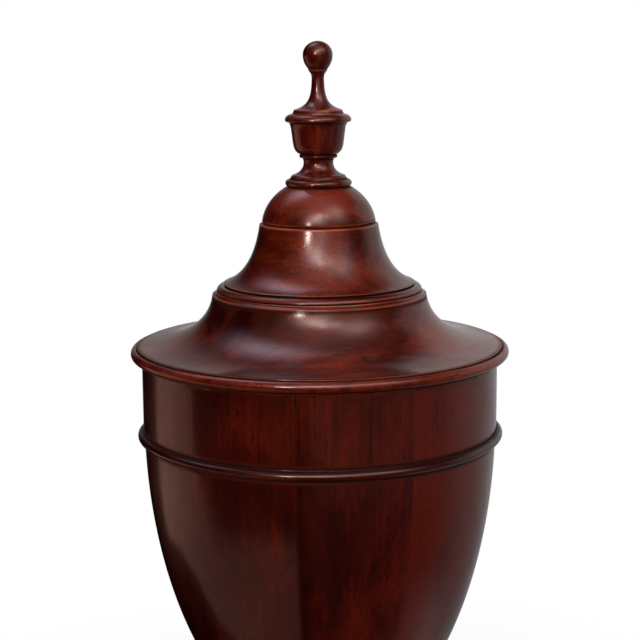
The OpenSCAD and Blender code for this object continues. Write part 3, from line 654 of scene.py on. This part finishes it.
lathe("socle", "urn", base_wood, grain=(0.0, True), seed=21, meets=["stave_1"])
lathe("body_bead", "urn", body_wood, seg=192, grain=(0.5, False), tone=0.06, seed=22,
      meets=["stave_1"], reach=1.3 * MM, rub=0.15, figure=BEAD_PAINTED_SHADE)
lathe("tier_ledge", "urn", inner_turned, seed=23)
lathe("riser_mid", "urn", inner_turned, grain=(0.3, True), seed=24)
lathe("riser_top", "urn", inner_turned, grain=(0.8, True), seed=25)
lathe("line_mid", "urn", boxwood, seg=192, soften=0.15 * MM, wobble=0.0, seed=26)
lathe("line_top", "urn", boxwood, seg=192, soften=0.15 * MM, wobble=0.0, seed=27)
lathe("lid_lip", "lid", inner_turned, seed=28)
lathe("lid_skirt", "lid", lid_wood, seg=224, grain=(0.35, False), seed=31,
      meets=["lid_rim", "lid_bead"], reach=2.6 * MM, rub=0.55, dents=[SKIRT_DENT],
      figure=SKIRT_FIGURE)
lathe("lid_rim", "lid", lid_wood, seg=224, grain=(1.1, False), tone=0.08, seed=32,
      meets=["lid_skirt"], reach=2.2 * MM, rub=0.45)
lathe("lid_bead", "lid", lid_wood, seg=192, grain=(0.7, False), tone=0.18, seed=33,
      meets=["lid_skirt", "lid_bell"], reach=0.9 * MM, figure=LID_BEAD_SHADE_AND_LIGHT)
lathe("lid_bell", "lid", lid_wood, seg=192, grain=(-0.6, False), seed=34,
      meets=["lid_bead", "lid_dome"], figure=BELL_FIGURE)
lathe("lid_dome", "lid", lid_wood, grain=(0.2, False), tone=0.08, seed=35,
      meets=["lid_bell", "finial_vase"], reach=2.3 * MM, figure=DOME_TONE_LIGHT_AND_SHADE)
lathe("finial_vase", "lid", lid_wood, grain=(0.0, True), tone=0.1, seed=36,
      soften=0.25 * MM, meets=["lid_dome", "finial_knob"], reach=1.1 * MM)
lathe("finial_knob", "lid", lid_wood, seg=96, grain=(0.0, True), seed=37,
      soften=0.25 * MM, meets=["finial_vase"])

# One row for each stave: how far its middle sinks in mm, its tone, and the tones of its two edges.
STAVES = ((0.5, 0.03, (-0.27, 0.1)), (0.4, 0.2, (0.03, 0.0)), (0.45, 0.26, (0.0, 0.05)),
          (0.5, 0.1, (0.04, -0.05)), (0.45, -0.02, (0.0, 0.03)), (0.5, 0.03, (-0.05, 0.0)),
          (0.45, 0.0, (0.03, 0.04)), (0.4, -0.03, (0.0, -0.04)), (0.5, -0.02, (0.05, 0.0)),
          (0.55, -0.05, (0.0, -0.1)))
for number, (sink, tone, edge_tone) in enumerate(STAVES, 1):
    stave(number, body_wood, sink * MM, split if number == 1 else fine,
          split if number == len(STAVES) else fine, tone, edge_tone, BODY_FIGURE)

# Nodes that keep their CAD form, with eased edges.
WELD_REACH, EASE_WIDTH, EASE_ANGLE = 0.002 * MM, 0.35 * MM, math.radians(35)
looks = {"plinth_block": block_wood, "plinth_cap": block_wood, "plinth_screw": steel,
         "body_boss": inner_post, "tier_low": inner_board, "tier_mid": inner_board,
         "tier_top": inner_board, "column_collar": inner_board, "collar_plate": brass,
         "collar_screws": brass, "lid_column": inner_post, "column_screw": steel,
         "column_foot": inner_post, "foot_pin": boxwood_rod, "catch_pin": steel,
         "catch_lever": brass, "catch_spring": brass}
looks.update({f"well_{side}": inner_post for side in ("front", "back", "left", "right")})
for node, look in looks.items():
    obj = nodes[node]
    obj.data.materials.clear()
    obj.data.materials.append(look)
    weld = obj.modifiers.new("weld", "WELD")
    weld.merge_threshold = WELD_REACH
    ease = obj.modifiers.new("ease", "BEVEL")
    ease.width, ease.segments = EASE_WIDTH, 2
    ease.limit_method, ease.angle_limit = "ANGLE", EASE_ANGLE

# Studio. A lamp is an azimuth, an elevation, the angle at which it falls to half, and a strength.
WARM_LAMPS = ((-20, 11, 3.4, 30), (-21, 15.5, 3, 22), (-20, 21, 4.5, 2.5))
PLAIN_LAMPS = ((-12, 29, 10, 3.4), (-1, 33, 8, 4.4), (3, 41, 4.2, 3.4), (18, 38, 7, 2.5),
               (46, 46, 12, 1.7), (45, 33, 13, 0.7), (9, 42, 34, 0.85), (5, 13, 9, 1.3))
COOL_LAMPS = ((-135, 64, 12, 2.1), (-110, 52, 11, 0.4), (0, 90, 20, 0.15))
WARM, NEUTRAL, COOL = (1.0, 0.95, 0.86), (1.0, 1.0, 1.0), (0.84, 0.92, 1.16)
# Matt surfaces alone get these from behind and from the right, and an even share from all round.
FILL_LAMPS, EVEN_FILL = ((185, 30, 36, 1.3), (98, 4, 24, 1.5)), 0.14
# A bearing is a share of the full turn, and the stops give the level there.
WALL = ((0.48, 0.0), (0.525, 0.34), (0.56, 0.42), (0.75, 0.42), (0.79, 0.18), (0.83, 0.0))
WALL_TOP, WALL_FULL = 0.72, 0.5
WHITE = (1.0, 1.0, 1.0, 1.0)


def toward(azimuth, elevation):
    """Direction from the urn. Azimuth 0 is the front and 90 the right; both are in degrees."""
    a, e = math.radians(azimuth), math.radians(elevation)
    return (math.sin(a) * math.cos(e), -math.cos(a) * math.cos(e), math.sin(e))


def smooth_step(tree, value, start, end, low=0.0, high=1.0):
    """Eased passage from low to high as the value goes from start to end."""
    return add(tree, "ShaderNodeMapRange", Value=value, From_Min=start, From_Max=end, To_Min=low,
               To_Max=high, interpolation_type="SMOOTHSTEP")


def softbox(tree, ray, azimuth, elevation, half, strength):
    """Soft light in the surroundings, down to half its strength at this angle from its middle."""
    middle = toward(azimuth, elevation)
    facing = add(tree, "ShaderNodeVectorMath", ray, middle, operation="DOT_PRODUCT", out=1)
    power = math.log(0.5) / math.log(math.cos(math.radians(half)))
    level = math_node(tree, "POWER", math_node(tree, "MAXIMUM", facing, 0.0), power)
    return math_node(tree, "MULTIPLY", level, strength)


def total(tree, values):
    """Sum of all the values."""
    result = values[0]
    for value in values[1:]:
        result = math_node(tree, "ADD", result, value)
    return result


def shown_share(tree, paths, glossy):
    """Share of the backdrop: all of it for the camera and through glass, and this for reflections."""
    seen = math_node(tree, "MAXIMUM", paths["Is Camera Ray"], paths["Is Transmission Ray"])
    return math_node(tree, "MULTIPLY_ADD", paths["Is Glossy Ray"], glossy, seen)


world = bpy.data.worlds.new("studio")
bpy.context.scene.world = world
tree = clean_tree(world)
paths = tree.nodes.new("ShaderNodeLightPath").outputs
ray = add(tree, "ShaderNodeTexCoord")
height = add(tree, "ShaderNodeSeparateXYZ", ray, out=2)
bearing = add(tree, "ShaderNodeTexGradient", ray, gradient_type="RADIAL", out=1)
wall = ramp(tree, bearing, *WALL)
wall = math_node(tree, "MULTIPLY", wall, smooth_step(tree, height, WALL_TOP, WALL_FULL))
fill = total(tree, [wall] + [softbox(tree, ray, *lamp) for lamp in FILL_LAMPS])
fill = math_node(tree, "MULTIPLY", paths["Is Diffuse Ray"], fill)
fill = math_node(tree, "MULTIPLY_ADD", paths["Is Diffuse Ray"], EVEN_FILL, fill)
room = None
for colour, lamps, extra in ((WARM, WARM_LAMPS, []), (NEUTRAL, PLAIN_LAMPS, [fill]),
                             (COOL, COOL_LAMPS, [])):
    strength = total(tree, [softbox(tree, ray, *lamp) for lamp in lamps] + extra)
    part = add(tree, "ShaderNodeBackground", Color=(*colour, 1.0), Strength=strength)
    room = part if room is None else add(tree, "ShaderNodeAddShader", room, part)
white = add(tree, "ShaderNodeBackground", Color=WHITE, Strength=1.0)
whole = add(tree, "ShaderNodeMixShader", shown_share(tree, paths, wall), room, white)
tree.links.new(whole, tree.nodes.new("ShaderNodeOutputWorld").inputs[0])

# Floor. The camera sees it pale, fading to white. What it sends back to the urn depends on the
# bearing and the distance: pale parts on the right and in front, and a warm strip on the left.
FLOOR_HALF = 8.0
FLOOR_COLOUR = (0.86, 0.86, 0.86, 1.0)
FADE_START, FADE_END = 0.16, 0.7
PALE_PARTS = (
    (((0.3, 0.02), (0.46, 0.05), (0.52, 0.26), (0.6, 0.33), (0.68, 0.44), (0.74, 0.58),
      (0.785, 0.45), (0.81, 0.0)), (0.2, 1.6, 0.5, 0.85)),
    (((0.225, 0.0), (0.25, 0.09), (0.44, 0.08), (0.5, 0.0)), (0.5, 1.3, 0.2, 1.0)),
    (((0.4, 0.0), (0.45, 0.14), (0.5, 0.18), (0.55, 0.0)), (0.55, 0.3)))
STRIP_SPAN = ((0.0, 1.0), (0.2, 1.0), (0.212, 0.0), (0.893, 0.0), (0.908, 1.0))
STRIP_EDGE = ((0.0, 0.4), (0.03, 0.31), (0.07, 0.24), (0.2, 0.21), (0.88, 0.75), (0.94, 0.62),
              (0.98, 0.48), (1.0, 0.4))
STRIP_SOFT = 0.04
STRIP_FACING, STRIP_FRONT = (0.1, 0.995, 0.0), (-0.43, -0.21)
STRIP_NEAR = (0.75, 0.5)
STRIP_LEVEL = (0.25, 1.2, 0.19, 0.3)
STRIP_COLOUR = (1.75, 1.0, 0.82, 1.0)

floor_mesh = bpy.data.meshes.new("floor")
floor_corners = [(x * FLOOR_HALF, y * FLOOR_HALF, 0) for x, y in ((-1, -1), (1, -1), (1, 1), (-1, 1))]
floor_mesh.from_pydata(floor_corners, [], [(0, 1, 2, 3)])
floor = bpy.data.objects.new("floor", floor_mesh)
bpy.context.scene.collection.objects.link(floor)
floor_look = bpy.data.materials.new("pale_floor")
tree = clean_tree(floor_look)
paths = tree.nodes.new("ShaderNodeLightPath").outputs
spot = add(tree, "ShaderNodeTexCoord", out=3)
away = add(tree, "ShaderNodeVectorMath", spot, operation="LENGTH", out=1)
fade = smooth_step(tree, away, FADE_START, FADE_END)
pale = add(tree, "ShaderNodeBsdfDiffuse", Color=FLOOR_COLOUR)
white = add(tree, "ShaderNodeEmission", Color=WHITE, Strength=1.0)
shown = add(tree, "ShaderNodeMixShader", fade, pale, white)
bearing = add(tree, "ShaderNodeTexGradient", spot, gradient_type="RADIAL", out=1)
pale_part = total(tree, [math_node(tree, "MULTIPLY", ramp(tree, bearing, *stops),
                                   smooth_step(tree, away, *span)) for stops, span in PALE_PARTS])
left_side = ramp(tree, bearing, *STRIP_SPAN)
near_edge = ramp(tree, bearing, *STRIP_EDGE)
beyond = smooth_step(tree, math_node(tree, "SUBTRACT", away, near_edge), -STRIP_SOFT, STRIP_SOFT)
forward = add(tree, "ShaderNodeVectorMath", spot, STRIP_FACING, operation="DOT_PRODUCT", out=1)
outer_edge = math_node(tree, "MAXIMUM", smooth_step(tree, forward, *STRIP_FRONT),
                       smooth_step(tree, away, *STRIP_NEAR))
strip = math_node(tree, "MULTIPLY", beyond, outer_edge)
level = math_node(tree, "MULTIPLY", left_side, smooth_step(tree, away, *STRIP_LEVEL))
strip = math_node(tree, "MULTIPLY", strip, level)
cold_strength = math_node(tree, "MULTIPLY", pale_part, paths["Is Diffuse Ray"])
cold_bounce = add(tree, "ShaderNodeEmission", Color=WHITE, Strength=cold_strength)
warm_bounce = add(tree, "ShaderNodeEmission", Color=STRIP_COLOUR, Strength=strip)
bounce = add(tree, "ShaderNodeAddShader", cold_bounce, warm_bounce)
whole = add(tree, "ShaderNodeMixShader", shown_share(tree, paths, pale_part), bounce, shown)
tree.links.new(whole, tree.nodes.new("ShaderNodeOutputMaterial").inputs[0])
floor_mesh.materials.append(floor_look)

# Camera at the photograph's angle: millimetres for the lens, degrees for the tilt from straight down
# and the roll, and pixels for the shift.
FOCAL_LENGTH, SENSOR_WIDTH = 89.3, 36.0
PICTURE_WIDTH, SHIFT = 640, 0.5
CAMERA_PLACE = (0.0, -1.1, 0.6238)
CAMERA_TILT, CAMERA_ROLL = 80.0, -0.4
lens = bpy.data.cameras.new("camera")
lens.lens, lens.sensor_width = FOCAL_LENGTH, SENSOR_WIDTH
lens.shift_x = SHIFT / PICTURE_WIDTH
camera = bpy.data.objects.new("camera", lens)
camera.location = CAMERA_PLACE
tilt = Matrix.Rotation(math.radians(CAMERA_TILT), 3, "X")
roll = Matrix.Rotation(math.radians(CAMERA_ROLL), 3, "Z")
camera.rotation_euler = (tilt @ roll).to_euler()
bpy.context.scene.collection.objects.link(camera)
bpy.context.scene.camera = camera
bpy.context.scene.view_settings.view_transform = "Standard"
